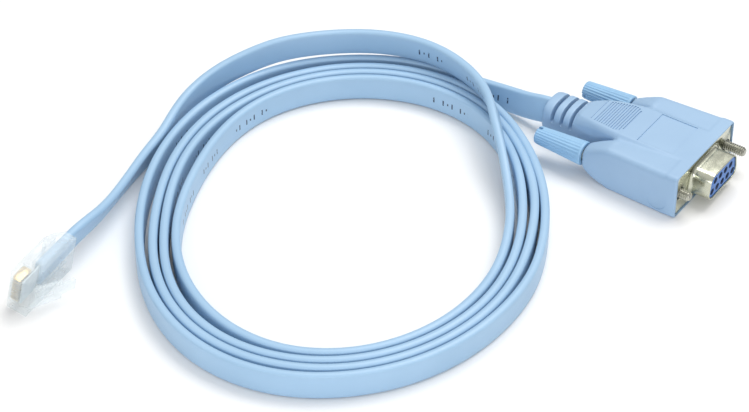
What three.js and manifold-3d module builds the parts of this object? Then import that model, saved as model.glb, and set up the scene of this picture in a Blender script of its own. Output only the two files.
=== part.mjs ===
// A flat serial console cable: a nine-way D connector in a moulded hood with two
// thumbscrews, a flat ribbon lying in a loose oval coil, and a clear modular plug.
// Millimetres, +Z up. The cable stands on its edge on the surface z = 0.
import * as THREE from "three";
import { mergeVertices } from "three/addons/utils/BufferGeometryUtils.js";
import Module from "manifold-3d";

// ---------- driving dimensions ----------
const RIBBON_W = 7.65; // ribbon width, stands vertical in the coil
const RIBBON_T = 2.4; // ribbon thickness
const GAP = 0.3; // gap between neighbouring solids

const CONN_POS = [92.6, 8.9, 6.6]; // centre of the collar's front face
const CONN_YAW = -35; // degrees about Z, +X of the connector is its mating axis

const HOOD_W = 31.6; // across the two thumbscrews
const HOOD_H = 13.2;
const HOOD_FRONT = -5.7; // hood rim, behind the collar's front
const HEAD_LEN = 3.4; // the rim, as high and as wide as the hood gets
const SHOULDER_START = -27.5; // the two screw housings round off behind this
const SHOULDER_END = -34.9;
const NECK_START = -43;
const NECK_END = -53.6;
const SLOT_X = [-50.2, -47.2, -44.3]; // strain-relief slots
const SLOT_W = 1.0;

const FLANGE_W = 29.4; // sheet-metal flange
const FLANGE_H = 12.0;
const FLANGE_FRONT = -6.0;
const FLANGE_T = 0.6;
const COLLAR_W = 16.33; // D-shaped collar, outside
const COLLAR_H = 7.9;
const COLLAR_WALL = 0.45;
const PIN_PITCH = 2.77;
const ROW_PITCH = 2.84;
const HOLE_R = 0.8;

const SCREW_SPACING = 24.99; // between the thumbscrew axes
const SCREW_R = 1.42; // 4-40 thread, outside
const SHANK_R = 1.75;
const BORE_R = 2.15;
const KNOB_R_FRONT = 3.4;
const KNOB_R_REAR = 2.5;
const KNOB_REAR = -50.2;

const PLUG_L = 20.9;
const PLUG_W = 11.7;
const PLUG_T = 6.6;
const PLUG_POS = [-89.5, -38.1, 6.45]; // centre of the plug's front face
const PLUG_YAW = 62; // degrees, direction from the front to the cable end
const PLUG_LEAN = 13; // degrees, top leans towards the latch side
const CONTACT_PITCH = 1.02;

// ribbon route from the plug over the top of the coil: x, y, z of the centre, lean in degrees
const ROUTE_PLUG = [
  [-85.04, -29.71, 6.45, 13], [-82.93, -25.74, 6.45, 13], [-81.05, -22.21, 6.45, 13], [-79.41, -19.12, 6.45, 13.5],
  [-77.29, -15.14, 6.45, 17], [-71.9, -4.9, 5.4, 26], [-68.5, 3.5, 4.7, 27], [-65.4, 11.6, 4.35, 23],
  [-61.9, 19.8, 4.3, 15], [-58, 27.4, 4.9, 9], [-55.4, 33.6, 5.8, 5], [-50.4, 44.2, 6.6, 2],
  [-43.4, 51.5, 8.3, 0], [-35.4, 56.4, 10, 0], [-27.1, 59.6, 11.5, 0], [-18.6, 61.8, 11.95, 0],
  [-10.2, 63.1, 11.95, 0], [-1.5, 63.2, 11.95, 1], [7.5, 61.5, 11.95, 3], [16.3, 57.3, 11.95, 6],
  [23.6, 50.6, 11.95, 11], [28.2, 43.9, 11.95, 16], [30.9, 37.4, 11.95, 18],
];
// ribbon route from the coil to the hood
const ROUTE_HOOD = [
  [13.5, 59.3, 3.95, 0], [22, 55.2, 4, -2], [30.2, 50.6, 4.1, -5], [37.6, 45.9, 4.6, -10],
  [43.9, 41.1, 5.7, -16], [46.6, 38.95, 6.55, -20],
];
// outline of the coil seen from above
const COIL_OUTER = [
  [45.66, 5.51], [44.72, 12.54], [43.14, 19.58], [40.92, 26.62], [37.95, 33.6], [34.01, 40.32],
  [28.95, 46.42], [22.8, 51.56], [15.76, 55.47], [8.12, 58.05], [0.33, 60.6], [-7.85, 61.95],
  [-16.22, 62.07], [-24.25, 59.66], [-31.7, 56.04], [-38.4, 51.37], [-44.22, 45.86], [-49.13, 39.74],
  [-53.15, 33.22], [-56.34, 26.46], [-58.78, 19.56], [-60.54, 12.58], [-61.7, 5.55], [-62.3, -1.54],
  [-62.4, -8.72], [-61.97, -16.04], [-60.96, -23.54], [-59.2, -31.19], [-56.5, -38.87], [-52.66, -46.35],
  [-47.58, -53.31], [-41.24, -59.38], [-33.79, -64.16], [-25.49, -67.38], [-16.72, -68.89], [-7.85, -68.77],
  [0.79, -67.15], [8.95, -64.22], [16.43, -60.15], [23.1, -55.15], [28.91, -49.44], [33.85, -43.24],
  [37.92, -36.66], [41.1, -29.8], [43.37, -22.76], [44.85, -15.66], [45.69, -8.59], [45.97, -1.54],
];
const COIL_INNER = [
  [34.42, -1.54], [34.16, -7.07], [33.58, -12.64], [32.58, -18.29], [31.04, -23.99], [28.87, -29.71],
  [25.95, -35.34], [22.24, -40.75], [17.68, -45.76], [12.3, -50.19], [6.16, -53.83], [-0.62, -56.47],
  [-7.85, -57.88], [-15.26, -57.84], [-22.5, -56.23], [-29.21, -53.12], [-35.09, -48.73], [-39.98, -43.41],
  [-43.81, -37.5], [-46.65, -31.31], [-48.57, -25.05], [-49.68, -18.87], [-50.11, -12.86], [-49.97, -7.09],
  [-49.39, -1.54], [-48.46, 3.81], [-47.27, 9.02], [-45.84, 14.19], [-44.12, 19.4], [-42.01, 24.67],
  [-39.34, 29.95], [-35.95, 35.08], [-31.76, 39.87], [-26.73, 44.05], [-20.97, 47.41], [-14.61, 49.81],
  [-7.85, 51.14], [-0.89, 51.34], [6.05, 50.34], [12.73, 48.14], [18.89, 44.77], [24.3, 40.36],
  [28.77, 35.08], [32.21, 29.2], [34.65, 23], [35.27, 16.32], [35.11, 9.97], [34.41, 4.02],
];

const wasm = await Module();
wasm.setup();

// ---------- helpers ----------
function solid(geometry) {
  const g = geometry.clone();
  for (const name of Object.keys(g.attributes))
    if (name !== "position") g.deleteAttribute(name);
  const m = mergeVertices(g, 1e-4);
  return new wasm.Manifold(
    new wasm.Mesh({
      numProp: 3,
      vertProperties: new Float32Array(m.attributes.position.array),
      triVerts: new Uint32Array(m.index.array),
    }),
  );
}

function geometryOf(s) {
  const m = s.getMesh();
  const v = new Float32Array(m.numVert * 3);
  for (let i = 0; i < m.numVert; i++)
    v.set(m.vertProperties.subarray(i * m.numProp, i * m.numProp + 3), i * 3);
  const g = new THREE.BufferGeometry();
  g.setAttribute("position", new THREE.BufferAttribute(v, 3));
  g.setIndex(new THREE.BufferAttribute(new Uint32Array(m.triVerts), 1));
  const flat = g.toNonIndexed();
  flat.computeVertexNormals();
  return flat;
}

// a box from its lowest to its highest corner
function box(x0, x1, y0, y1, z0, z1) {
  const g = new THREE.BoxGeometry(x1 - x0, y1 - y0, z1 - z0);
  g.translate((x0 + x1) / 2, (y0 + y1) / 2, (z0 + z1) / 2);
  return solid(g);
}

// a cone or cylinder along X, radius r0 at x0 and r1 at x1
function rod(x0, x1, r0, r1, y = 0, z = 0, sides = 24) {
  const g = new THREE.CylinderGeometry(r1, r0, x1 - x0, sides);
  g.rotateZ(-Math.PI / 2);
  g.translate((x0 + x1) / 2, y, z);
  return solid(g);
}

// a closed outline in the YZ plane, extruded along X
function extrudeX(points, x0, x1) {
  const shape = new THREE.Shape(points.map(([y, z]) => new THREE.Vector2(y, z)));
  const g = new THREE.ExtrudeGeometry(shape, {
    depth: x1 - x0,
    bevelEnabled: false,
    steps: 1,
  });
  // shape x -> Y, shape y -> Z, depth -> X
  const m = new THREE.Matrix4().makeBasis(
    new THREE.Vector3(0, 1, 0),
    new THREE.Vector3(0, 0, 1),
    new THREE.Vector3(1, 0, 0),
  );
  g.applyMatrix4(m);
  g.translate(x0, 0, 0);
  return solid(g);
}

// a closed outline in the XY plane, extruded along Z
function extrudeZ(points, z0, z1) {
  const shape = new THREE.Shape(points.map(([x, y]) => new THREE.Vector2(x, y)));
  const g = new THREE.ExtrudeGeometry(shape, {
    depth: z1 - z0,
    bevelEnabled: false,
    steps: 1,
  });
  g.translate(0, 0, z0);
  return solid(g);
}

// corner-rounded rectangle, counter-clockwise
function roundRect(w, h, r, n = 4) {
  const p = [];
  for (const [cx, cy, a0] of [
    [w / 2 - r, h / 2 - r, 0],
    [-w / 2 + r, h / 2 - r, 90],
    [-w / 2 + r, -h / 2 + r, 180],
    [w / 2 - r, -h / 2 + r, 270],
  ])
    for (let i = 0; i <= n; i++) {
      const a = ((a0 + (90 * i) / n) * Math.PI) / 180;
      p.push([cx + r * Math.cos(a), cy + r * Math.sin(a)]);
    }
  return p;
}

// the D outline, wide side down, sides slanted 10 degrees, inset by d
function dOutline(d, n = 5) {
  const w = COLLAR_W / 2 - d;
  const h = COLLAR_H / 2 - d;
  const r = 2.6 - d;
  const t = Math.tan((10 * Math.PI) / 180);
  const top = w - 2 * h * t;
  const p = [];
  const arc = (cx, cy, a0, a1) => {
    for (let i = 0; i <= n; i++) {
      const a = ((a0 + ((a1 - a0) * i) / n) * Math.PI) / 180;
      p.push([cx + r * Math.cos(a), cy + r * Math.sin(a)]);
    }
  };
  const c = 1 / Math.cos((10 * Math.PI) / 180);
  const bx = w - r * c - r * t; // centre of the wide corners
  const tx = top - r * c + r * t; // centre of the narrow corners
  arc(tx, h - r, 10, 90);
  arc(-tx, h - r, 90, 170);
  arc(-bx, -h + r, 170, 270);
  arc(bx, -h + r, 270, 370);
  return p;
}

function hull2(front, rear, x0, x1) {
  // a loft between two outlines of the same number of points, x0 < x1: rear at x0
  const n = front.length;
  const v = [];
  for (const [y, z] of rear) v.push(x0, y, z);
  for (const [y, z] of front) v.push(x1, y, z);
  const t = [];
  for (let i = 0; i < n; i++) {
    const j = (i + 1) % n;
    t.push(i, j, n + j, i, n + j, n + i);
  }
  for (let i = 1; i < n - 1; i++) {
    t.push(0, i + 1, i);
    t.push(n, n + i, n + i + 1);
  }
  const g = new THREE.BufferGeometry();
  g.setAttribute("position", new THREE.BufferAttribute(new Float32Array(v), 3));
  g.setIndex(t);
  return solid(g);
}

const group = new THREE.Group();
group.name = "console_cable";

const PALETTE = {
  jacket: { color: 0xa3c6e6, roughness: 0.5, metalness: 0 },
  hood: { color: 0xa9cbe9, roughness: 0.48, metalness: 0 },
  nickel: { color: 0xc9c6b4, roughness: 0.28, metalness: 1 },
  screw: { color: 0xb9b9b4, roughness: 0.32, metalness: 1 },
  insulator: { color: 0x2f62b0, roughness: 0.45, metalness: 0 },
  gold: { color: 0xd9b45a, roughness: 0.25, metalness: 1 },
  clear: { color: 0xe6eef2, roughness: 0.06, metalness: 0, transparent: true, opacity: 0.35 },
};
const mats = Object.fromEntries(
  Object.entries(PALETTE).map(([k, v]) => [k, new THREE.MeshStandardMaterial(v)]),
);
function add(parent, name, s, mat) {
  const mesh = new THREE.Mesh(geometryOf(s), mats[mat]);
  mesh.name = name;
  parent.add(mesh);
  return mesh;
}

// ---------- the nine-way connector ----------
const conn = new THREE.Group();
conn.position.set(...CONN_POS);
conn.rotation.z = (CONN_YAW * Math.PI) / 180;
group.add(conn);
{
  const half = SCREW_SPACING / 2;
  // head, shoulders, central body, taper and neck are one moulding
  const mirror = (half) => [...half, ...half.map(([y, z]) => [-y, z]).reverse()];
  const b = -HOOD_H / 2; // underside, on the surface
  const t = HOOD_H / 2;
  let hood = extrudeX(roundRect(HOOD_W, HOOD_H, 1.1), HOOD_FRONT - HEAD_LEN, HOOD_FRONT);
  const blockFront = mirror([[15.4, b], [15.75, b + 0.8], [15.7, 5.1], [14.8, 6.4], [8.4, 6.3], [7.4, t]]);
  const blockRear = mirror([[14.75, b], [15.1, b + 0.8], [15.05, 4.7], [14.1, 6.0], [8.3, 5.9], [7.2, t]]);
  hood = hood.add(hull2(blockFront, blockRear, SHOULDER_START, HOOD_FRONT - HEAD_LEN + 0.4));
  for (const s of [1, -1]) {
    const lobe = (y0, y1, z0, z1, c) => {
      const p = [[y1, z0 + c], [y1, z1 - c], [y1 - c, z1], [y0 + c, z1], [y0, z1 - c], [y0, z0 + c], [y0 + c, z0], [y1 - c, z0]];
      return s > 0 ? p : p.map(([y, z]) => [-y, z]).reverse();
    };
    const rings = [
      [SHOULDER_START + 0.5, lobe(8.2, 15.05, b, 6.0, 1.2)],
      [-30.2, lobe(8.4, 15.0, b + 0.2, 5.6, 1.6)],
      [-32.8, lobe(8.9, 14.95, b + 1.0, 4.7, 1.9)],
      [SHOULDER_END, lobe(9.7, 14.9, b + 2.9, 3.3, 1.2)],
    ];
    for (let i = 0; i < rings.length - 1; i++)
      hood = hood.add(hull2(rings[i][1], rings[i + 1][1], rings[i + 1][0], rings[i][0] + (i ? 0 : 0.2)));
  }
  const core = (w, wt, z0, z1, c) => mirror([[w - c, z0], [w, z0 + c], [w, z1 - 1.6 * c], [wt, z1]]);
  const spine = [
    [SHOULDER_START + 0.6, core(8.3, 7.2, b, t, 0.7)],
    [-33, core(7.6, 6.5, b + 0.3, t - 0.35, 0.8)],
    [-38.6, core(6.6, 5.3, b + 1.0, t - 1.0, 1.1)],
    [NECK_START, core(5.7, 3.2, b + 2.3, 4.4, 1.4)],
  ];
  for (let i = 0; i < spine.length - 1; i++)
    hood = hood.add(hull2(spine[i][1], spine[i + 1][1], spine[i + 1][0], spine[i][0] + (i ? 0 : 0.2)));
  const neckRing = (w, z0, z1) => mirror([[w - 1.4, z0], [w, z0 + 1.4], [w, z1 - 3.6], [w - 1.1, z1 - 1.5], [w - 2.9, z1 - 0.3], [0.4, z1]]);
  hood = hood.add(hull2(neckRing(5.6, -4.3, 4.3), neckRing(5.5, -4.2, 4.1), NECK_END + 0.9, NECK_START + 0.3));
  hood = hood.add(hull2(neckRing(5.5, -4.2, 4.1), neckRing(4.9, -4.0, 3.9), NECK_END, NECK_END + 1.0));
  // recess for the flange and the insulator behind it
  hood = hood.subtract(box(FLANGE_FRONT - FLANGE_T - GAP, 1, -FLANGE_W / 2 - 0.3, FLANGE_W / 2 + 0.3, -FLANGE_H / 2 - 0.3, FLANGE_H / 2 + 0.3));
  hood = hood.subtract(box(-9.2, 0, -8.4, 8.4, -4.2, 4.2));
  // thumbscrew bores
  for (const s of [1, -1]) hood = hood.subtract(rod(-60, 0, BORE_R, BORE_R, s * half, 0));
  // strain-relief slots over the top and both sides of the neck, down to its core
  for (const x of SLOT_X) {
    const slot = box(x - SLOT_W / 2, x + SLOT_W / 2, -6.5, 6.5, 0.2, 8);
    hood = hood.subtract(slot.subtract(box(x - 1, x + 1, -3.3, 3.3, -1, 2.3)));
  }
  add(conn, "hood", hood, "hood");

  // front shell: flange and collar
  let shell = extrudeX(roundRect(FLANGE_W, FLANGE_H, 1.2), FLANGE_FRONT - FLANGE_T, FLANGE_FRONT);
  shell = shell.add(extrudeX(dOutline(0), FLANGE_FRONT - FLANGE_T, 0));
  shell = shell.subtract(extrudeX(dOutline(COLLAR_WALL), -10, 1));
  for (const s of [1, -1]) shell = shell.subtract(rod(-10, 0, 1.75, 1.75, s * half, 0));
  add(conn, "dsub_shell", shell, "nickel");

  // insulator with its nine holes
  let ins = extrudeX(dOutline(COLLAR_WALL + 0.2), -8.8, -0.25);
  const holes = [];
  for (let i = -2; i <= 2; i++) holes.push([i * PIN_PITCH, -ROW_PITCH / 2]);
  for (let i = -1.5; i <= 1.5; i++) holes.push([i * PIN_PITCH, ROW_PITCH / 2]);
  for (const [y, z] of holes) ins = ins.subtract(rod(-6.5, 0, HOLE_R, HOLE_R, y, z, 16));
  add(conn, "dsub_insulator", ins, "insulator");
  holes.forEach(([y, z], i) => {
    const c = rod(-6.2, -1.3, 0.6, 0.6, y, z, 12).subtract(rod(-5.0, 0, 0.42, 0.42, y, z, 12));
    add(conn, "socket_contact_" + (i + 1), c, "gold");
  });

  // thumbscrews: a metal screw moulded into a tapered plastic knob
  for (const [label, s, tip, front] of [
    ["near", -1, -2.9, -35.3],
    ["far", 1, -0.3, -35.3],
  ]) {
    const y = s * half;
    let screw = rod(tip - 0.5, tip, SCREW_R, SCREW_R - 0.4, y, 0);
    screw = screw.add(rod(-12, tip - 0.5, SCREW_R, SCREW_R, y, 0));
    screw = screw.add(rod(front - 8, -11.5, SHANK_R, SHANK_R, y, 0));
    add(conn, "thumbscrew_pin_" + label, screw, "screw");
    let knob = rod(KNOB_REAR, front - 1.4, KNOB_R_REAR, KNOB_R_FRONT, y, 0, 32);
    knob = knob.add(rod(front - 1.5, front, KNOB_R_FRONT, KNOB_R_FRONT - 0.25, y, 0, 32));
    knob = knob.subtract(rod(front - 8.3, front + 1, SHANK_R + GAP, SHANK_R + GAP, y, 0));
    knob = knob.subtract(box(KNOB_REAR - 1, KNOB_REAR + 1.5, y - 0.45, y + 0.45, -4, 4));
    add(conn, "thumbscrew_knob_" + label, knob, "hood");
  }
}

// ---------- the modular plug ----------
// local axes: +X from the front to the cable end, +Y out of the contact side, Z across the width
const plug = new THREE.Group();
{
  const a = (PLUG_YAW * Math.PI) / 180;
  const l = (PLUG_LEAN * Math.PI) / 180;
  const X = new THREE.Vector3(Math.cos(a), Math.sin(a), 0);
  const side = new THREE.Vector3(Math.sin(a), -Math.cos(a), 0); // latch side before leaning
  const Z = new THREE.Vector3(0, 0, Math.cos(l)).addScaledVector(side, Math.sin(l));
  const Y = new THREE.Vector3().crossVectors(Z, X);
  const m = new THREE.Matrix4().makeBasis(X, Y, Z);
  plug.quaternion.setFromRotationMatrix(m);
  plug.position.set(...PLUG_POS);
  group.add(plug);

  const h = PLUG_T / 2;
  const w = PLUG_W / 2;
  let body = extrudeZ(
    [[0, -h], [PLUG_L, -h], [PLUG_L, 0.6], [16.6, h], [1.4, h], [0, h - 0.9]],
    -w,
    w,
  );
  body = body.subtract(box(8.6, PLUG_L + 1, -1.65, 1.65, -4.3, 4.3)); // ribbon cavity
  body = body.subtract(box(11.6, 15.6, 2.4, h + 1, -4.1, 4.1)); // strain-relief recess
  // latch: wide root, narrow tab
  body = body.add(extrudeZ([[1.2, -h + 0.4], [1.2, -h - 1.1], [8.6, -h - 4.6], [8.9, -h - 3.6], [3.4, -h - 0.5], [3.4, -h + 0.4]], -3.05, 3.05));
  body = body.add(extrudeZ([[8.5, -h - 3.5], [8.3, -h - 4.45], [12.4, -h - 6.1], [12.7, -h - 5.2]], -1.65, 1.65));
  // slots for the blades
  for (let i = 0; i < 8; i++) {
    const z = (i - 3.5) * CONTACT_PITCH;
    body = body.subtract(box(0.8, 6.8, 0, h + 1, z - 0.34, z + 0.34));
  }
  add(plug, "plug_body", body, "clear");
  for (let i = 0; i < 8; i++) {
    const z = (i - 3.5) * CONTACT_PITCH;
    const blade = extrudeZ([[1.2, 0.35], [6.4, 0.35], [6.4, h - 0.5], [1.9, h - 0.5], [1.2, h - 1.2]], z - 0.16, z + 0.16);
    add(plug, "plug_contact_" + (i + 1), blade, "gold");
  }
}

// ---------- the ribbon ----------
// An eight-sided flat section, extruded straight and then laid along the route.
function ribbon(route, steps, cut0, cut1) {
  const P = route.map((p) => new THREE.Vector3(p[0], p[1], p[2]));
  const curve = new THREE.CatmullRomCurve3(P, false, "centripetal");
  const arc = [0];
  for (let i = 1; i < P.length; i++) arc.push(arc[i - 1] + P[i].distanceTo(P[i - 1]));
  const L = curve.getLength();
  const lean = (u) => {
    const s = u * arc[arc.length - 1];
    let i = 1;
    while (i < arc.length - 1 && arc[i] < s) i++;
    const f = (s - arc[i - 1]) / (arc[i] - arc[i - 1]);
    return route[i - 1][3] * (1 - f) + route[i][3] * f;
  };
  const w = RIBBON_W / 2;
  const t = RIBBON_T / 2;
  const c = 0.6;
  const shape = new THREE.Shape(
    [[w, -t + c], [w, t - c], [w - c, t], [-w + c, t], [-w, t - c], [-w, -t + c], [-w + c, -t], [w - c, -t]].map(
      ([x, y]) => new THREE.Vector2(x, y),
    ),
  );
  const g = new THREE.ExtrudeGeometry(shape, { depth: 1, steps, bevelEnabled: false });
  const pos = g.attributes.position;
  for (let i = 0; i < pos.count; i++) {
    const u = (cut0 + pos.getZ(i) * (L - cut0 - cut1)) / L;
    const o = curve.getPointAt(u);
    const tan = curve.getTangentAt(u);
    const right = new THREE.Vector3(tan.y, -tan.x, 0).normalize();
    const up0 = new THREE.Vector3().crossVectors(right, tan).normalize();
    const a = (lean(u) * Math.PI) / 180;
    const up = up0.clone().multiplyScalar(Math.cos(a)).addScaledVector(right, Math.sin(a));
    const nrm = new THREE.Vector3().crossVectors(tan, up).normalize();
    o.addScaledVector(up, pos.getX(i)).addScaledVector(nrm, pos.getY(i));
    pos.setXYZ(i, o.x, o.y, o.z);
  }
  g.computeVertexNormals();
  return solid(g);
}
{
  add(group, "cable_tail_plug", ribbon(ROUTE_PLUG, 26, 0, 0), "jacket");
  add(group, "cable_tail_hood", ribbon(ROUTE_HOOD, 6, 0, 0), "jacket");
  const shape = new THREE.Shape(COIL_OUTER.map(([x, y]) => new THREE.Vector2(x, y)));
  shape.holes.push(new THREE.Path(COIL_INNER.map(([x, y]) => new THREE.Vector2(x, y))));
  const g = new THREE.ExtrudeGeometry(shape, { depth: RIBBON_W, bevelEnabled: false, steps: 1 });
  add(group, "cable_coil", solid(g), "jacket");
}

// the origin is under the middle of the connector and the plug together
const own = new THREE.Box3();
group.updateMatrixWorld(true);
group.traverse((o) => {
  if (o.isMesh && !o.name.startsWith("cable_")) {
    o.geometry.computeBoundingBox();
    const p = o.geometry.attributes.position;
    const v = new THREE.Vector3();
    for (let i = 0; i < p.count; i++) own.expandByPoint(v.fromBufferAttribute(p, i).applyMatrix4(o.matrixWorld));
  }
});
const mid = own.getCenter(new THREE.Vector3());
group.position.set(-mid.x, -mid.y, -own.min.z);
group.updateMatrixWorld(true);

export default group;
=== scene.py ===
# A flat serial console cable: a nine-way D connector in a moulded hood, a loose oval coil
# of flat ribbon, and a clear modular plug. Metres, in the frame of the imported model.
import math

import bmesh
import bpy
import numpy as np
from mathutils import Matrix, Vector


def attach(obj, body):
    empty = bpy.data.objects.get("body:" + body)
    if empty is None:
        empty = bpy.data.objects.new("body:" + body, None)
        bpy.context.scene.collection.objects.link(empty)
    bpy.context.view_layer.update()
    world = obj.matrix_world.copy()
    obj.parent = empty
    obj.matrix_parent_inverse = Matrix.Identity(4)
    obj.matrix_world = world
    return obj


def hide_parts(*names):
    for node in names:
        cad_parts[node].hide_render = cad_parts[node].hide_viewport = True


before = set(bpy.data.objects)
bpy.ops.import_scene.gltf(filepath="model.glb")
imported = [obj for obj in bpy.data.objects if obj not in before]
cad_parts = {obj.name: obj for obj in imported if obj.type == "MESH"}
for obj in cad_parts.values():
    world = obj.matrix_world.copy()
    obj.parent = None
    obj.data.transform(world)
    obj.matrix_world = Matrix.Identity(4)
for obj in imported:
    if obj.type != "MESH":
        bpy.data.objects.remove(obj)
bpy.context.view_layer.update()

# ---------- dimensions, in millimetres ----------
SHIFT = (-3.6312, -4.8747, 0.0)  # from the route's own origin to the frame's
RIBBON_W = 7.65
RIBBON_T = 2.4
CONN_POS = (92.6, 8.9, 6.6)
CONN_YAW = -35.0
PLUG_POS = (-89.5, -38.1, 6.45)
PLUG_YAW = 62.0
PLUG_LEAN = 13.0
# the ribbon's route from the plug to the hood: x, y, z of its centre, and its lean in degrees
ROUTE = [
    (-85.04, -29.71, 6.45, 13), (-82.93, -25.74, 6.45, 13), (-81.05, -22.21, 6.45, 13), (-79.41, -19.12, 6.45, 13.5), (-77.29, -15.14, 6.45, 17),
    (-71.9, -4.9, 5.4, 26), (-68.5, 3.5, 4.7, 27), (-65.4, 11.6, 4.35, 23), (-61.9, 19.8, 4.3, 15), (-58, 27.4, 4.9, 9),
    (-55.4, 33.6, 5.8, 5), (-50.4, 44.2, 6.6, 2), (-43.4, 51.5, 8.3, 0), (-35.4, 56.4, 10, 0), (-27.1, 59.6, 11.5, 0),
    (-18.6, 61.8, 11.95, 0), (-10.2, 63.1, 11.95, 0), (-1.5, 63.2, 11.95, 1), (7.5, 61.5, 11.95, 3), (16.3, 57.3, 11.95, 6),
    (23.6, 50.6, 11.95, 11), (28.2, 43.9, 11.95, 16), (30.9, 37.4, 11.95, 18), (32.2, 31, 11.8, 18), (33, 24.4, 11, 16),
    (34, 17.4, 9.2, 12), (35, 9, 6.6, 7), (35.51, -1.54, 4.9, 3), (34.67, -12.93, 4.43, 0), (32.06, -24.58, 3.95, 0),
    (26.82, -36.21, 3.95, 0), (18.31, -46.85, 3.95, 0), (6.5, -55.1, 3.95, 0), (-7.85, -59.29, 3.95, 0), (-22.89, -57.66, 3.95, 0),
    (-35.78, -49.92, 3.95, 0), (-44.7, -38.39, 3.95, 0), (-49.61, -25.65, 3.95, 0), (-51.23, -13.16, 3.95, 0), (-50.51, -1.54, 3.95, 0),
    (-48.32, 9.3, 3.95, 0), (-45.08, 19.96, 3.95, 0), (-40.18, 30.79, 3.95, 0), (-32.41, 40.99, 3.95, 0), (-21.31, 48.69, 3.95, 0),
    (-7.85, 52.47, 3.95, 0), (6.4, 51.65, 3.95, 0), (19.58, 45.97, 3.95, 0), (29.73, 36.04, 3.95, 0), (35.7, 23.61, 3.95, 0),
    (38.33, 10.83, 3.95, 0), (38.82, -1.54, 3.95, 0), (37.72, -13.75, 3.95, 0), (34.69, -26.1, 3.95, 0), (28.95, -38.34, 3.95, 0),
    (19.73, -49.3, 3.95, 0), (7.21, -57.76, 3.95, 0), (-7.85, -62.06, 3.95, 0), (-23.7, -60.71, 3.95, 0), (-37.83, -53.47, 3.95, 0),
    (-47.83, -41.52, 3.95, 0), (-52.85, -27.52, 3.95, 0), (-54.29, -13.98, 3.95, 0), (-54.01, -1.54, 3.95, 0), (-52.43, 10.4, 3.95, 0),
    (-49.02, 22.23, 3.95, 0), (-42.98, 33.59, 3.95, 0), (-33.93, 43.63, 3.95, 0), (-22.02, 51.35, 3.95, 0), (-7.85, 55.22, 3.95, 0),
    (7.11, 54.3, 3.95, 0), (20.92, 48.29, 3.95, 0), (31.46, 37.77, 3.95, 0), (37.87, 24.85, 3.95, 0), (41.18, 11.6, 3.95, 0),
    (41.98, -1.54, 3.95, 0), (40.47, -14.49, 3.95, 0), (37.07, -27.48, 3.95, 0), (30.89, -40.28, 3.95, 0), (21.1, -51.68, 3.95, 0),
    (7.93, -60.41, 3.95, 0), (-7.85, -64.81, 3.95, 0), (-24.42, -63.37, 3.95, 0), (-39.21, -55.86, 3.95, 0), (-49.78, -43.47, 3.95, 0),
    (-55.34, -28.96, 3.95, 0), (-57.09, -14.73, 3.95, 0), (-56.77, -1.54, 3.95, 0), (-55.08, 11.12, 3.95, 0), (-51.41, 23.61, 3.95, 0),
    (-45.05, 35.66, 3.95, 0), (-35.44, 46.25, 3.95, 0), (-22.74, 54.05, 3.95, 0), (-7.85, 57.97, 3.95, 0), (7.82, 56.95, 3.95, 0),
    (22.26, 50.61, 3.95, 0), (33.19, 39.5, 3.95, 0), (39.74, 25.94, 3.95, 0), (43.4, 12.19, 3.95, 0), (44.62, -1.54, 3.95, 0),
    (43.53, -15.31, 3.95, 0), (40.01, -29.17, 3.95, 0), (32.92, -42.31, 3.95, 0), (22.48, -54.07, 3.95, 0), (8.64, -63.07, 3.95, 0),
    (-7.85, -67.62, 3.95, 0), (-25.22, -66.38, 3.95, 0), (-40.71, -58.45, 3.95, 0), (-51.82, -45.51, 3.95, 0), (-58.05, -30.53, 3.95, 0),
    (-60.62, -15.68, 3.95, 0), (-60.91, -1.54, 3.95, 0), (-59.22, 12.23, 3.95, 0), (-55.19, 25.79, 3.95, 0), (-48.23, 38.84, 3.95, 0),
    (-37.79, 50.32, 3.95, 0), (-23.95, 58.53, 3.95, 0), (-7.85, 62.01, 3.95, 0), (13.5, 59.3, 3.95, 0), (22, 55.2, 4, -2),
    (30.2, 50.6, 4.1, -5), (37.6, 45.9, 4.6, -10), (43.9, 41.1, 5.7, -16), (46.6, 38.95, 6.55, -20), (49.39, 37.33, 6.77, -20),
]

WORLD = 0.8
LIGHTS = (
    ("key", (0.25, 0.30, 0.85), (0, 0, 0), (0.7, 0.5), 5.4, (1.0, 0.99, 0.97)),
    ("front_fill", (-0.05, -0.50, 0.16), (0, -0.07, 0), (0.5, 0.12), 0.95, (0.97, 0.98, 1.0)),
)

# ---------- frames of the two ends ----------
def basis(x, y, z, o):
    m = Matrix.Identity(4)
    for i, v in enumerate((x, y, z)):
        for j in range(3):
            m[j][i] = v[j]
    for j in range(3):
        m[j][3] = (o[j] + SHIFT[j]) / 1000
    return m


_a = math.radians(CONN_YAW)
CONN = basis(
    Vector((math.cos(_a), math.sin(_a), 0)),
    Vector((-math.sin(_a), math.cos(_a), 0)),
    Vector((0, 0, 1)),
    CONN_POS,
)
_a, _l = math.radians(PLUG_YAW), math.radians(PLUG_LEAN)
_x = Vector((math.cos(_a), math.sin(_a), 0))
_z = Vector((0, 0, math.cos(_l))) + Vector((math.sin(_a), -math.cos(_a), 0)) * math.sin(_l)
PLUG = basis(_x, _z.cross(_x), _z, PLUG_POS)

# ---------- camera ----------
cam_data = bpy.data.cameras.new("camera")
cam_data.sensor_width = 36.0
cam_data.lens = 2400 * 36.0 / 749
cam = bpy.data.objects.new("camera", cam_data)
bpy.context.scene.collection.objects.link(cam)
cam.rotation_euler = (math.radians(50.5), 0, 0)
cam.location = ((0 + SHIFT[0]) / 1000, (-487.35 + SHIFT[1]) / 1000, (405.73 + SHIFT[2]) / 1000)
cam_data.clip_start = 0.01
cam_data.clip_end = 20
bpy.context.scene.camera = cam
bpy.context.scene.view_settings.view_transform = "Standard"


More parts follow.
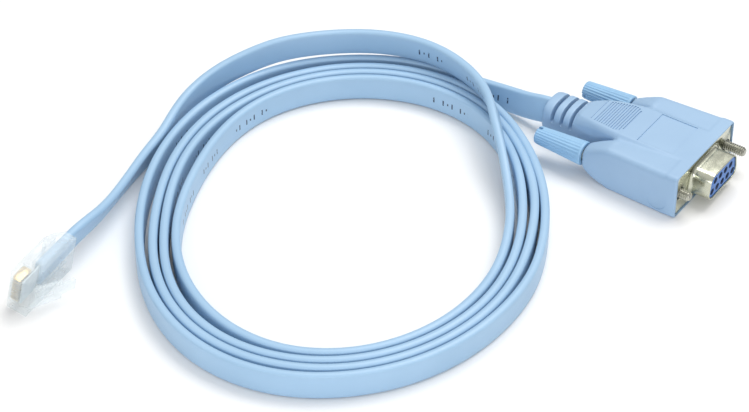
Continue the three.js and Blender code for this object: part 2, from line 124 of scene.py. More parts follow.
# ---------- mesh helpers: local millimetres in, metres in the frame out ----------
def make(name, verts, faces, place=None, smooth=True, mat=None):
    """A mesh object from vertices in millimetres."""
    v = np.asarray(verts, float) / 1000
    me = bpy.data.meshes.new(name)
    me.from_pydata(v.tolist(), [], [list(map(int, f)) for f in faces])
    me.update()
    if place is not None:
        me.transform(place)
    ob = bpy.data.objects.new(name, me)
    bpy.context.scene.collection.objects.link(ob)
    if smooth:
        me.polygons.foreach_set("use_smooth", [True] * len(me.polygons))
    if mat is not None:
        me.materials.append(mat)
    return ob


def bake(ob):
    """The object's modifiers become part of its mesh."""
    dg = bpy.context.evaluated_depsgraph_get()
    me = bpy.data.meshes.new_from_object(ob.evaluated_get(dg))
    ob.modifiers.clear()
    old = ob.data
    ob.data = me
    me.name = ob.name
    bpy.data.meshes.remove(old)
    return ob


def hull(points):
    """Vertices and faces of a convex hull."""
    bm = bmesh.new()
    for p in points:
        bm.verts.new(p)
    out = bmesh.ops.convex_hull(bm, input=bm.verts)
    inner = [e for e in out["geom_interior"] if isinstance(e, bmesh.types.BMVert)]
    bmesh.ops.delete(bm, geom=inner, context="VERTS")
    bm.verts.ensure_lookup_table()
    bm.verts.index_update()
    v = [tuple(x.co) for x in bm.verts]
    f = [[x.index for x in p.verts] for p in bm.faces]
    bm.free()
    return v, f


def join(parts):
    v, f = [], []
    for pv, pf in parts:
        n = len(v)
        v += [tuple(p) for p in pv]
        f += [[i + n for i in q] for q in pf]
    return v, f


def loft(rings, closed_ends=True):
    """Rings of the same number of points, joined in order, with fans at both ends."""
    n = len(rings[0])
    v = [tuple(p) for r in rings for p in r]
    f = []
    for k in range(len(rings) - 1):
        for i in range(n):
            j = (i + 1) % n
            f.append([k * n + i, k * n + j, (k + 1) * n + j, (k + 1) * n + i])
    if closed_ends:
        f.append([i for i in range(n)][::-1])
        f.append([(len(rings) - 1) * n + i for i in range(n)])
    return v, f


def fixed(ob):
    """Faces turned outwards."""
    bm = bmesh.new()
    bm.from_mesh(ob.data)
    bmesh.ops.recalc_face_normals(bm, faces=bm.faces)
    bm.to_mesh(ob.data)
    bm.free()
    return ob


def cut(ob, tools, op="DIFFERENCE"):
    for t in tools:
        m = ob.modifiers.new("cut", "BOOLEAN")
        m.operation = op
        m.solver = "EXACT"
        m.object = t
    bake(ob)
    for t in tools:
        me = t.data
        bpy.data.objects.remove(t)
        bpy.data.meshes.remove(me)
    return ob


def bevel(ob, width, segments=3, angle=35):
    m = ob.modifiers.new("bevel", "BEVEL")
    m.width = width / 1000
    m.segments = segments
    m.limit_method = "ANGLE"
    m.angle_limit = math.radians(angle)
    m.use_clamp_overlap = True
    return bake(ob)


def shade(ob, angle=32):
    """Smooth shading, with edges sharper than the angle kept sharp."""
    me = ob.data
    me.polygons.foreach_set("use_smooth", [True] * len(me.polygons))
    bm = bmesh.new()
    bm.from_mesh(me)
    lim = math.radians(angle)
    for e in bm.edges:
        e.smooth = not (len(e.link_faces) == 2 and e.calc_face_angle(0) > lim)
    bm.to_mesh(me)
    bm.free()
    return ob


def rrect(w, h, r, n=6):
    p = []
    for cx, cy, a0 in ((w / 2 - r, h / 2 - r, 0), (-w / 2 + r, h / 2 - r, 90), (-w / 2 + r, -h / 2 + r, 180), (w / 2 - r, -h / 2 + r, 270)):
        for i in range(n + 1):
            a = math.radians(a0 + 90 * i / n)
            p.append((cx + r * math.cos(a), cy + r * math.sin(a)))
    return p


def prism_x(outline, x0, x1):
    return loft([[(x0, y, z) for y, z in outline], [(x1, y, z) for y, z in outline]])


def box_vf(x0, x1, y0, y1, z0, z1):
    return loft([[(x, y0, z0), (x, y1, z0), (x, y1, z1), (x, y0, z1)] for x in (x0, x1)])


def rod_vf(x0, x1, r, y, z, n=32):
    ring = lambda x: [(x, y + r * math.cos(2 * math.pi * i / n), z + r * math.sin(2 * math.pi * i / n)) for i in range(n)]
    return loft([ring(x0), ring(x1)])


def place(ob, body, slot):
    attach(ob, body)
    return ob


# ---------- materials ----------
def node_mat(name):
    m = bpy.data.materials.new(name)
    m.use_nodes = True
    nt = m.node_tree
    return m, nt, nt.nodes["Principled BSDF"]


def plastic(name, base, dark, rough, grain_mm, grain_depth, mottle_mm=9.0, spec=0.5, coat=0.0, sss=0.0):
    """Moulded or extruded plastic: slow colour drift, fine surface grain, uneven gloss."""
    m, nt, b = node_mat(name)
    tc = nt.nodes.new("ShaderNodeTexCoord")
    n1 = nt.nodes.new("ShaderNodeTexNoise")
    n1.inputs["Scale"].default_value = 1000 / mottle_mm
    n1.inputs["Detail"].default_value = 5
    n1.inputs["Roughness"].default_value = 0.55
    nt.links.new(tc.outputs["Object"], n1.inputs["Vector"])
    r = nt.nodes.new("ShaderNodeValToRGB")
    r.color_ramp.elements[0].position = 0.32
    r.color_ramp.elements[0].color = (*dark, 1)
    r.color_ramp.elements[1].position = 0.68
    r.color_ramp.elements[1].color = (*base, 1)
    nt.links.new(n1.outputs["Fac"], r.inputs["Fac"])
    nt.links.new(r.outputs["Color"], b.inputs["Base Color"])
    n2 = nt.nodes.new("ShaderNodeTexNoise")
    n2.inputs["Scale"].default_value = 1000 / grain_mm
    n2.inputs["Detail"].default_value = 4
    nt.links.new(tc.outputs["Object"], n2.inputs["Vector"])
    mr = nt.nodes.new("ShaderNodeMapRange")
    mr.inputs["From Min"].default_value = 0.3
    mr.inputs["From Max"].default_value = 0.7
    mr.inputs["To Min"].default_value = rough - 0.06
    mr.inputs["To Max"].default_value = rough + 0.08
    nt.links.new(n2.outputs["Fac"], mr.inputs["Value"])
    nt.links.new(mr.outputs["Result"], b.inputs["Roughness"])
    bp = nt.nodes.new("ShaderNodeBump")
    bp.inputs["Strength"].default_value = 0.5
    bp.inputs["Distance"].default_value = grain_depth / 1000
    nt.links.new(n2.outputs["Fac"], bp.inputs["Height"])
    nt.links.new(bp.outputs["Normal"], b.inputs["Normal"])
    b.inputs["Specular IOR Level"].default_value = spec
    b.inputs["Coat Weight"].default_value = coat
    if sss:
        b.inputs["Subsurface Weight"].default_value = sss
        b.inputs["Subsurface Radius"].default_value = (0.8, 1.0, 1.2)
        b.inputs["Subsurface Scale"].default_value = 0.0006
    return m, nt, b, tc, r


def metal(name, base, stain, rough, grain_mm=0.5, depth=0.01, streak=None, scale=260):
    m, nt, b = node_mat(name)
    tc = nt.nodes.new("ShaderNodeTexCoord")
    mp = nt.nodes.new("ShaderNodeMapping")
    if streak:
        mp.inputs["Scale"].default_value = streak
    nt.links.new(tc.outputs["Object"], mp.inputs["Vector"])
    n1 = nt.nodes.new("ShaderNodeTexNoise")
    n1.inputs["Scale"].default_value = scale
    n1.inputs["Detail"].default_value = 3
    nt.links.new(mp.outputs["Vector"], n1.inputs["Vector"])
    r = nt.nodes.new("ShaderNodeValToRGB")
    r.color_ramp.elements[0].position = 0.3
    r.color_ramp.elements[0].color = (*stain, 1)
    r.color_ramp.elements[1].position = 0.65
    r.color_ramp.elements[1].color = (*base, 1)
    nt.links.new(n1.outputs["Fac"], r.inputs["Fac"])
    nt.links.new(r.outputs["Color"], b.inputs["Base Color"])
    b.inputs["Metallic"].default_value = 1.0
    n2 = nt.nodes.new("ShaderNodeTexNoise")
    n2.inputs["Scale"].default_value = 1000 / grain_mm
    n2.inputs["Detail"].default_value = 3
    nt.links.new(mp.outputs["Vector"], n2.inputs["Vector"])
    mr = nt.nodes.new("ShaderNodeMapRange")
    mr.inputs["From Min"].default_value = 0.3
    mr.inputs["From Max"].default_value = 0.7
    mr.inputs["To Min"].default_value = max(rough - 0.08, 0.05)
    mr.inputs["To Max"].default_value = rough + 0.1
    nt.links.new(n2.outputs["Fac"], mr.inputs["Value"])
    nt.links.new(mr.outputs["Result"], b.inputs["Roughness"])
    bp = nt.nodes.new("ShaderNodeBump")
    bp.inputs["Strength"].default_value = 0.4
    bp.inputs["Distance"].default_value = depth / 1000
    nt.links.new(n2.outputs["Fac"], bp.inputs["Height"])
    nt.links.new(bp.outputs["Normal"], b.inputs["Normal"])
    return m


JACKET_BASE = (0.36, 0.545, 0.74)
JACKET_DARK = (0.33, 0.512, 0.705)
HOOD_BASE = (0.335, 0.495, 0.685)
HOOD_DARK = (0.31, 0.465, 0.655)
mat_hood, *_ = plastic("hood_plastic", HOOD_BASE, HOOD_DARK, 0.46, 0.35, 0.03, mottle_mm=14, sss=0.0)
mat_knob, *_ = plastic("knob_plastic", (0.31, 0.53, 0.755), (0.285, 0.50, 0.73), 0.42, 0.4, 0.02, mottle_mm=6)
mat_insul, *_ = plastic("insulator_plastic", (0.035, 0.18, 0.56), (0.03, 0.155, 0.50), 0.36, 0.3, 0.02, mottle_mm=3)
mat_nickel = metal("nickel_plate", (0.60, 0.61, 0.50), (0.52, 0.53, 0.43), 0.24, 3.0, 0.0012, scale=45)
mat_screw = metal("screw_steel", (0.52, 0.52, 0.45), (0.34, 0.34, 0.29), 0.28, 0.8, 0.004, scale=200)
mat_socket = metal("socket_gold", (0.30, 0.21, 0.08), (0.20, 0.14, 0.05), 0.3, 0.3, 0.003)
mat_gold = metal("gold_plate", (0.86, 0.62, 0.26), (0.78, 0.54, 0.20), 0.22, 0.3, 0.004)

# ribbon jacket, with plain dashes and ticks of dark ink along one face
mat_jacket, nt, b, tc, ramp = plastic("jacket_vinyl", JACKET_BASE, JACKET_DARK, 0.4, 0.5, 0.02, mottle_mm=20)


def math_node(op, a=None, bb=None, c=None):
    n = nt.nodes.new("ShaderNodeMath")
    n.operation = op
    for i, v in enumerate((a, bb, c)):
        if v is None:
            continue
        if isinstance(v, (int, float)):
            n.inputs[i].default_value = v
        else:
            nt.links.new(v, n.inputs[i])
    return n.outputs[0]


uvn = nt.nodes.new("ShaderNodeUVMap")
uvn.uv_map = "along"
sx = nt.nodes.new("ShaderNodeSeparateXYZ")
nt.links.new(uvn.outputs["UV"], sx.inputs[0])
S, W = sx.outputs[0], sx.outputs[1]  # metres along the ribbon; height on the printed face, 9 elsewhere


def band(v, mid, half):
    return math_node("LESS_THAN", math_node("ABSOLUTE", math_node("SUBTRACT", v, mid)), half)


def marks(period, phase, width, mid, half):
    """Ticks of one width, repeated along the ribbon, at one height."""
    f = math_node("FRACT", math_node("DIVIDE", math_node("ADD", S, phase), period))
    return math_node("MULTIPLY", math_node("LESS_THAN", f, width / period), band(W, mid, half))


def union(*m):
    out = m[0]
    for x in m[1:]:
        out = math_node("MAXIMUM", out, x)
    return out


ticks = union(
    marks(0.0031, 0.0, 0.00045, 0.0, 0.00085),
    marks(0.0062, 0.00155, 0.00045, 0.0, 0.00035),
)
# groups of marks with bare lengths between them
g1 = math_node("LESS_THAN", math_node("FRACT", math_node("DIVIDE", S, 0.021)), 0.62)
g2 = math_node("LESS_THAN", math_node("FRACT", math_node("DIVIDE", math_node("ADD", S, 0.013), 0.163)), 0.74)
ink = math_node("MULTIPLY", math_node("MULTIPLY", ticks, g1), math_node("MULTIPLY", g2, math_node("GREATER_THAN", S, 0.135)))
blot = nt.nodes.new("ShaderNodeTexNoise")
blot.inputs["Scale"].default_value = 2600
nt.links.new(tc.outputs["Object"], blot.inputs["Vector"])
ink = math_node("MULTIPLY", ink, math_node("GREATER_THAN", blot.outputs["Fac"], 0.36))
mix = nt.nodes.new("ShaderNodeMix")
mix.data_type = "RGBA"
nt.links.new(ink, mix.inputs["Factor"])
nt.links.new(ramp.outputs["Color"], mix.inputs["A"])
mix.inputs["B"].default_value = (0.02, 0.035, 0.09, 1)
nt.links.new(mix.outputs["Result"], b.inputs["Base Color"])


# ---------- the ribbon ----------
def spline(t, y):
    """Natural cubic spline through the rows of y at t: returns a function."""
    n = len(t)
    h = np.diff(t)
    A = np.zeros((n, n))
    r = np.zeros((n,) + y.shape[1:])
    A[0, 0] = A[-1, -1] = 1
    for i in range(1, n - 1):
        A[i, i - 1], A[i, i], A[i, i + 1] = h[i - 1], 2 * (h[i - 1] + h[i]), h[i]
        r[i] = 6 * ((y[i + 1] - y[i]) / h[i] - (y[i] - y[i - 1]) / h[i - 1])
    M = np.linalg.solve(A, r)

    def at(x):
        i = np.clip(np.searchsorted(t, x) - 1, 0, n - 2)
        a = (t[i + 1] - x)[:, None]
        c = (x - t[i])[:, None]
        hh = h[i][:, None]
        return (
            M[i] * a**3 / (6 * hh)
            + M[i + 1] * c**3 / (6 * hh)
            + (y[i] / hh - M[i] * hh / 6) * a
            + (y[i + 1] / hh - M[i + 1] * hh / 6) * c
        )

    return at


P = np.array(ROUTE, float)
knots = np.r_[0, np.cumsum(np.linalg.norm(np.diff(P[:, :3], axis=0), axis=1))]
curve = spline(knots, P[:, :3])
dense = np.linspace(0, knots[-1], 8000)
D = curve(dense)
arc = np.r_[0, np.cumsum(np.linalg.norm(np.diff(D, axis=0), axis=1))]
LENGTH = float(arc[-1])
STEPS = int(round(LENGTH / 1.3))
s_at = np.linspace(0, LENGTH, STEPS + 1)
k_at = np.interp(s_at, arc, dense)
C = curve(k_at)
lean = np.interp(k_at, knots, P[:, 3])
kernel = np.hanning(13)
kernel /= kernel.sum()
lean = np.convolve(np.r_[[lean[0]] * 6, lean, [lean[-1]] * 6], kernel, "valid")
T = np.gradient(C, axis=0)
T /= np.linalg.norm(T, axis=1)[:, None]
right = np.stack([T[:, 1], -T[:, 0], np.zeros(len(T))], 1)
right /= np.linalg.norm(right, axis=1)[:, None]
up0 = np.cross(right, T)
a = np.radians(lean)[:, None]
up = up0 * np.cos(a) + right * np.sin(a)
side = np.cross(T, up)  # points to the right of travel


def ribbon_section():
    """Points (height, offset to the right) of a flat oval with barely crowned faces, anticlockwise, and which face each lies on."""
    w, t, c = RIBBON_W / 2, RIBBON_T / 2, 0.75
    p = []
    crown = 0.05
    for i in range(7):  # right face, from top to bottom
        x = (w - c) * (1 - 2 * i / 6)
        p.append((x, t - crown * (x / (w - c)) ** 2, 1))
    for i in range(1, 8):
        q = math.pi * i / 8
        p.append((-(w - c) - c * math.sin(q), (t - crown) * math.cos(q), 0))
    for i in range(7):
        x = -(w - c) * (1 - 2 * i / 6)
        p.append((x, -t + crown * (x / (w - c)) ** 2, -1))
    for i in range(1, 8):
        q = math.pi * i / 8
        p.append(((w - c) + c * math.sin(q), -(t - crown) * math.cos(q), 0))
    return p


sec = ribbon_section()
n = len(sec)
V = np.concatenate([C[k] + up[k] * np.array([q[0] for q in sec])[:, None] + side[k] * np.array([q[1] for q in sec])[:, None] for k in range(len(C))])
V = V + np.array(SHIFT)
faces = []
K = len(C)
for k in range(K - 1):
    for i in range(n):
        j = (i + 1) % n
        faces.append([k * n + i, k * n + j, (k + 1) * n + j, (k + 1) * n + i])
faces.append([i for i in range(n)][::-1])
faces.append([(K - 1) * n + i for i in range(n)])
ribbon = fixed(make("ribbon", V, faces, mat=mat_jacket))
uv = ribbon.data.uv_layers.new(name="along")
idx = np.zeros(len(ribbon.data.loops), np.int32)
ribbon.data.loops.foreach_get("vertex_index", idx)
hgt = np.array([q[0] / 1000 if q[2] == 1 else 9.0 for q in sec])
uvs = np.stack([s_at[idx // n] / 1000, hgt[idx % n]], 1)
# a face with only one edge on the printed side isn't printed
for poly in ribbon.data.polygons:
    li = list(poly.loop_indices)
    if any(uvs[l, 1] > 1 for l in li):
        for l in li:
            uvs[l, 1] = 9.0
uv.uv.foreach_set("vector", uvs.astype(np.float32).ravel())
place(ribbon, "root", "jacket")
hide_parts("cable_coil", "cable_tail_plug", "cable_tail_hood")

# ---------- the moulded hood ----------
SCREW_Y = 12.495


def mirror(half):
    return half + [(-y, z) for y, z in half][::-1]


def at_x(outline, x):
    return [(x, y, z) for y, z in outline]


def rounded_box_ring(x, y0, y1, z0, z1, r, n=7):
    w, h = y1 - y0, z1 - z0
    r = min(r, w / 2 - 0.01, h / 2 - 0.01)
    return [(x, y + (y0 + y1) / 2, z + (z0 + z1) / 2) for y, z in rrect(w, h, r, n)]


BT, TP = -6.6, 6.6
parts = []
parts.append(hull(at_x(rrect(31.6, 13.2, 1.1), -9.1) + at_x(rrect(31.6, 13.2, 1.1), -5.7)))
front = mirror([(15.4, BT), (15.75, BT + 0.8), (15.75, 3.0), (15.0, 5.9)])
rear = mirror([(14.75, BT), (15.1, BT + 0.8), (15.1, 3.0), (14.2, 5.3)])
parts.append(hull(at_x(front, -8.8) + at_x(rear, -27.5)))
for s in (1, -1):
    ring_pts = []
    for x, y1, z0, z1 in ((-8.9, 15.8, 6.45, 6.5), (-10.5, 15.75, 5.95, 6.4), (-27.5, 15.1, 5.75, 6.15)):
        edge = [(y1 - 1.5 + 1.5 * math.sin(math.pi / 2 * k / 8), z1 - 1.5 + 1.5 * math.cos(math.pi / 2 * k / 8)) for k in range(9)]
        ring_pts += [(x, s * y, z) for y, z in [(6.5, -2.0), (6.5, z0 - 0.05), (8.5, z0)] + edge + [(y1, -2.0)]]
    parts.append(hull(ring_pts))
top_front = mirror([(8.9, 2.0), (8.9, 5.55), (7.4, TP)])
top_rear = mirror([(8.7, 2.0), (8.7, 5.5), (7.2, TP)])
parts.append(hull(at_x(top_front, -9.2) + at_x(top_rear, -28.2)))
for s in (1, -1):
    rings = []
    for x, y0, y1, z0, z1, r in (
        (-27.0, 8.3, 15.12, BT, 6.12, 1.5),
        (-28.0, 8.4, 15.1, BT + 0.02, 6.0, 1.6),
        (-29.6, 8.6, 15.05, BT + 0.2, 5.45, 1.8),
        (-31.4, 8.8, 15.0, BT + 0.7, 4.7, 2.0),
        (-33.0, 9.0, 14.95, BT + 1.4, 3.95, 2.2),
        (-34.3, 9.3, 14.9, BT + 2.3, 3.3, 2.3),
        (-34.9, 9.7, 14.85, BT + 3.0, 2.8, 2.2),
    ):
        rings += [(x, s * y, z) for x, y, z in rounded_box_ring(x, y0, y1, z0, z1, r)]
    parts.append(hull(rings))


def core(w, wt, z0, z1, c):
    return mirror([(w - c, z0), (w, z0 + c), (w, z1 - 1.6 * c), (w * 0.55 + wt * 0.45, z1 - 0.62 * c), (wt, z1)])


spine = []
for x, w, wt, z0, z1, c in (
    (-27.2, 8.5, 7.2, BT, TP, 0.85),
    (-30.0, 8.0, 6.9, BT + 0.05, TP - 0.1, 0.75),
    (-33.0, 7.6, 6.5, BT + 0.3, TP - 0.32, 0.8),
    (-36.0, 7.1, 6.0, BT + 0.6, TP - 0.62, 0.95),
    (-38.6, 6.6, 5.3, BT + 1.0, TP - 1.0, 1.1),
    (-41.0, 6.15, 4.4, BT + 1.6, TP - 1.55, 1.25),
    (-42.6, 5.8, 3.6, BT + 2.1, 4.7, 1.4),
    (-43.4, 5.5, 2.9, BT + 2.4, 4.3, 1.5),
):
    spine += at_x(core(w, wt, z0, z1, c), x)
parts.append(hull(spine))


def neck_ring(x, w, z0, z1):
    half = [(w - 1.5, z0), (w - 0.4, z0 + 0.4), (w, z0 + 1.5)]
    for i in range(9):
        q = math.pi / 2 * i / 8
        half.append((w * math.cos(q) ** 0.75, (z1 - 3.9) + 3.9 * math.sin(q) ** 0.9))
    half[-1] = (0.02, z1)
    return at_x(mirror(half), x)


parts.append(
    hull(
        neck_ring(-42.6, 5.6, -4.3, 4.35)
        + neck_ring(-52.3, 5.5, -4.2, 4.1)
        + neck_ring(-53.2, 5.25, -4.15, 4.0)
        + neck_ring(-53.6, 4.9, -4.0, 3.85)
    )
)
v, f = join(parts)
hood = fixed(make("hood_moulding", v, f))
slots = []
for i, x in enumerate((-50.2, -47.2, -44.3)):
    slots.append(make(f"t{i}", *box_vf(x - 0.5, x + 0.5, -7, 7, -0.6, 8)))
    cut(slots[-1], [make("tc", *box_vf(x - 2, x + 2, -2.2, 2.2, -2, 0.7))])
m = hood.modifiers.new("remesh", "REMESH")
m.mode = "VOXEL"
m.voxel_size = 0.0003
bake(hood)
m = hood.modifiers.new("smooth", "SMOOTH")
m.factor = 0.5
m.iterations = 5
bake(hood)
for t in slots:
    fixed(t)
cut(hood, slots)
m = hood.modifiers.new("remesh", "REMESH")
m.mode = "VOXEL"
m.voxel_size = 0.00022
bake(hood)
m = hood.modifiers.new("smooth", "SMOOTH")
m.factor = 0.5
m.iterations = 3
bake(hood)
m = hood.modifiers.new("dec", "DECIMATE")
m.decimate_type = "COLLAPSE"
m.ratio = 0.35
bake(hood)

tools = []
# mouth behind the rim
tools.append(make("u0", *prism_x(rrect(30.0, 12.6, 0.9), -6.9, 2)))
tools.append(make("u1", *prism_x(rrect(17.4, 8.8, 1.2), -9.3, -6.5)))
for s in (1, -1):
    tools.append(make(f"u2{s}", *rod_vf(-60, 0, 2.15, s * SCREW_Y, 0)))
# label recess, a plain shallow rectangle
tools.append(make("u3", *box_vf(-23.1, -12.2, -7.0, 7.0, TP - 0.24, TP + 2)))
# round gate mark on both sides
for s in (1, -1):
    r0 = [(-11.3 + 2.9 * math.cos(2 * math.pi * i / 48), -2.6 + 2.9 * math.sin(2 * math.pi * i / 48)) for i in range(48)]
    ys = (s * 15.5, s * 17.5)
    tools.append(make(f"u4{s}", *loft([[(x, y, z) for x, z in r0] for y in ys])))
# grip grooves across the rear of the top
zt = lambda x: np.interp(-x, [27.2, 30, 33, 36, 38.6, 41], [TP, TP - 0.1, TP - 0.32, TP - 0.62, TP - 1.0, TP - 1.55])
grooves = []
GR = np.arange(-37.2, -28.3, 0.8)
for x in GR:
    w = float(np.interp(-x, [28.4, 29.4, 30.6, 38.6], [4.9, 5.9, 6.2, 4.7]))
    z = float(zt(x))
    grooves.append(box_vf(x - 0.21, x + 0.21, -w, w, z - 0.26, z + 2))
z = float(zt(-38.5))
grooves.append(box_vf(-38.75, -38.45, -4.5, 4.7, z - 0.2, z + 2))
gv, gf = join(grooves)
tools.append(make("u5", gv, gf))
for t in tools:
    fixed(t)
cut(hood, tools)
hood.data.transform(CONN)
hood.data.materials.clear()
hood.data.materials.append(mat_hood)
shade(hood, 38)
place(hood, "root", "hood")
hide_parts("hood")


# ---------- nickel shell: flange and drawn collar ----------
def d_outline(d, n=9):
    w, h, r = 16.33 / 2 - d, 7.9 / 2 - d, 2.6 - d
    t = math.tan(math.radians(10))
    top = w - 2 * h * t
    c = 1 / math.cos(math.radians(10))
    bx, tx = w - r * c - r * t, top - r * c + r * t
    p = []
    for cx, cy, a0, a1 in ((tx, h - r, 10, 90), (-tx, h - r, 90, 170), (-bx, -h + r, 170, 270), (bx, -h + r, 270, 370)):
        for i in range(n + 1):
            q = math.radians(a0 + (a1 - a0) * i / n)
            p.append((cx + r * math.cos(q), cy + r * math.sin(q)))
    return p


FF, FT, CW = -6.0, 0.6, 0.45
prof = []  # x, inset: from the flange's front out along the collar and back inside
for i in range(9):
    q = math.pi / 2 * i / 8
    prof.append((FF + 1.1 - 1.1 * math.cos(q), -1.1 + 1.1 * math.sin(q)))
prof.append((-2.5, 0.0))
for i in range(1, 9):
    q = math.pi * i / 8
    prof.append((-CW / 2 + CW / 2 * math.sin(q), CW / 2 - CW / 2 * math.cos(q)))
prof.append((FF - 0.1, CW))
for i in range(1, 5):
    q = math.pi / 2 * i / 4
    prof.append((FF - FT + 0.5 - 0.5 * math.sin(q), CW - 0.5 + 0.5 * math.cos(q)))
prof.append((FF - FT, -1.1))
rings = [[(x, y, z) for y, z in d_outline(d)] for x, d in prof]
nn = len(rings[0])
v = [p for r in rings for p in r]
f = []
for k in range(len(rings)):
    k2 = (k + 1) % len(rings)
    for i in range(nn):
        j = (i + 1) % nn
        f.append([k * nn + i, k2 * nn + i, k2 * nn + j, k * nn + j])
collar = fixed(make("dsub_shell_skin", v, f))
plate = fixed(make("plate", *prism_x(rrect(29.4, 12.0, 1.6, 10), FF - FT, FF)))
holes = [fixed(make("h0", *prism_x(d_outline(-0.9), FF - 2, FF + 2)))]
for s in (1, -1):
    holes.append(fixed(make("h1", *rod_vf(FF - 2, FF + 2, 1.78, s * SCREW_Y, 0, 48))))
cut(plate, holes)
bevel(plate, 0.12, 2, 50)
bm = bmesh.new()
bm.from_mesh(collar.data)
bm.from_mesh(plate.data)
bm.to_mesh(collar.data)
bm.free()
bpy.data.objects.remove(plate)
collar.data.transform(CONN)
collar.data.materials.clear()
collar.data.materials.append(mat_nickel)
shade(collar, 40)
place(collar, "root", "nickel")
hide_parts("dsub_shell")

# ---------- insulator with nine countersunk holes ----------
prof = [(-8.8, 0.65), (-0.55, 0.65), (-0.35, 0.72), (-0.25, 0.9)]
rings = [[(x, y, z) for y, z in d_outline(d)] for x, d in prof]
ins = fixed(make("dsub_insulator_block", *loft(rings)))
HOLES = [(i * 2.77, -1.42) for i in range(-2, 3)] + [((i - 1.5) * 2.77, 1.42) for i in range(4)]
tools = []
for i, (y, z) in enumerate(HOLES):
    ring = lambda x, r: [(x, y + r * math.cos(2 * math.pi * k / 32), z + r * math.sin(2 * math.pi * k / 32)) for k in range(32)]
    tools.append(fixed(make(f"k{i}", *loft([ring(-6.5, 0.8), ring(-0.6, 0.8), ring(-0.25, 0.98), ring(0.2, 1.25)]))))
cut(ins, tools)
# faces lining the nine holes, picked by their centres, get a near-black blue: painted shade standing in for the
# darkness deep inside the holes
walls = [
    p.index
    for p in ins.data.polygons
    if -0.0066 < p.center.x < -0.0003 and any(math.hypot(p.center.y * 1000 - y, p.center.z * 1000 - z) < 0.95 for y, z in HOLES)
]
ins.data.transform(CONN)
ins.data.materials.clear()
ins.data.materials.append(mat_insul)
# painted shade: a near-black blue standing in for the shadow inside the holes, not the insulator's own colour
mat_hole_painted_shade, *_ = plastic("insulator_hole_painted_shade", (0.012, 0.035, 0.10), (0.008, 0.025, 0.08), 0.5, 0.2, 0.002)
ins.data.materials.append(mat_hole_painted_shade)
for k in walls:
    ins.data.polygons[k].material_index = 1
shade(ins, 35)
place(ins, "root", "insulator")
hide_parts("dsub_insulator")

# ---------- socket contacts: gold sleeves ----------------
for i, (y, z) in enumerate(HOLES):
    n = 24
    gap = 3
    outer = [2 * math.pi * k / n for k in range(n)]
    v, f = [], []
    prof = [(-6.2, 0.58), (-5.9, 0.6), (-1.6, 0.6), (-1.3, 0.55), (-1.3, 0.46), (-1.55, 0.42), (-5.2, 0.42), (-5.2, 0.02), (-6.2, 0.02)]
    rings = [[(x, y + r * math.cos(q), z + r * math.sin(q)) for q in outer] for x, r in prof]
    v = [p for r in rings for p in r]
    for k in range(len(rings)):
        k2 = (k + 1) % len(rings)
        for q in range(n):
            q2 = (q + 1) % n
            f.append([k * n + q, k2 * n + q, k2 * n + q2, k * n + q2])
    con = fixed(make(f"socket_sleeve_{i + 1}", v, f, place=CONN, mat=mat_socket))
    shade(con, 35)
    place(con, "root", "gold")
    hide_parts(f"socket_contact_{i + 1}")


# ---------- thumbscrews ----------
def thread(x0, x1, pitch, r, depth, n=40):
    """A threaded rod along X with a chamfered tip at x1."""
    st = int((x1 - x0) / (pitch / 10))
    rings = []
    for k in range(st + 1):
        x = x0 + (x1 - x0) * k / st
        ring = []
        for i in range(n):
            ph = (x / pitch + i / n) % 1.0
            tri = 1 - abs(2 * ph - 1)
            h = min(max((tri - 0.08) / 0.8, 0), 1)
            rr = r - depth + depth * h
            tip = max(0.0, x - (x1 - 0.7))
            rr = min(rr, r - tip * 0.75)
            root = max(0.0, (x0 + 0.5) - x)
            rr = max(rr - root * 0.0, 0.2)
            q = 2 * math.pi * i / n
            ring.append((x, rr * math.cos(q), rr * math.sin(q)))
        rings.append(ring)
    return loft(rings)


def knob(rear, front, r_rear, r_front, ribs=22, per=8, depth=0.17):
    n = ribs * per
    rings = []
    prof = [(rear, 0.55, 0), (rear + 0.02, 0.80, 0), (rear + 0.12, 0.92, 0.3), (rear + 0.4, 0.985, 0.8), (rear + 0.8, 1.0, 1.0)]
    L = front - rear
    for t in np.linspace(0.1, 0.93, 14):
        prof.append((rear + L * t, 1.0, 1.0))
    prof += [(front - 0.75, 1.0, 0.6), (front - 0.5, 1.0, 0.0), (front - 0.2, 0.985, 0.0), (front, 0.93, 0.0)]
    for x, sc, rib in prof:
        r0 = (r_rear + (r_front - r_rear) * (x - rear) / L) * sc
        ring = []
        for i in range(n):
            ph = (i % per) / per
            g = 0.5 - 0.5 * math.cos(2 * math.pi * ph)
            rr = r0 - depth * rib * (1 - g) ** 1.6
            q = 2 * math.pi * i / n
            ring.append((x, rr * math.cos(q), rr * math.sin(q)))
        rings.append(ring)
    return loft(rings)


for label, s, tip, turn in (("near", -1, -2.9, 90), ("far", 1, -0.3, 8)):
    y = s * SCREW_Y
    spin = Matrix.Translation((0, y / 1000, 0)) @ Matrix.Rotation(math.radians(turn), 4, "X")
    v, f = thread(-12.0, tip, 0.635, 1.42, 0.30)
    sv, sf = loft([[(x, r * math.cos(2 * math.pi * i / 40), r * math.sin(2 * math.pi * i / 40)) for i in range(40)] for x, r in ((-43.0, 1.75), (-12.2, 1.75), (-11.9, 1.5), (-11.9, 0.4))])
    v, f = join([(v, f), (sv, sf)])
    pin = fixed(make(f"thumbscrew_screw_{label}", v, f, place=CONN @ spin, mat=mat_screw))
    shade(pin, 50)
    place(pin, f"thumbscrew_{label}", "screw")
    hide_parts(f"thumbscrew_pin_{label}")

    kb = fixed(make(f"thumbscrew_grip_{label}", *knob(-50.2, -35.3, 2.5, 3.4)))
    tools = [
        fixed(make("s0", *rod_vf(-43.3, -30, 1.95, 0, 0, 48))),
        fixed(make("s1", *box_vf(-52, -48.7, -4, 4, -0.45, 0.45))),
    ]
    cut(kb, tools)
    kb.data.transform(CONN @ spin)
    kb.data.materials.clear()
    kb.data.materials.append(mat_knob)
    shade(kb, 48)
    place(kb, f"thumbscrew_{label}", "hood")
    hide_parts(f"thumbscrew_knob_{label}")

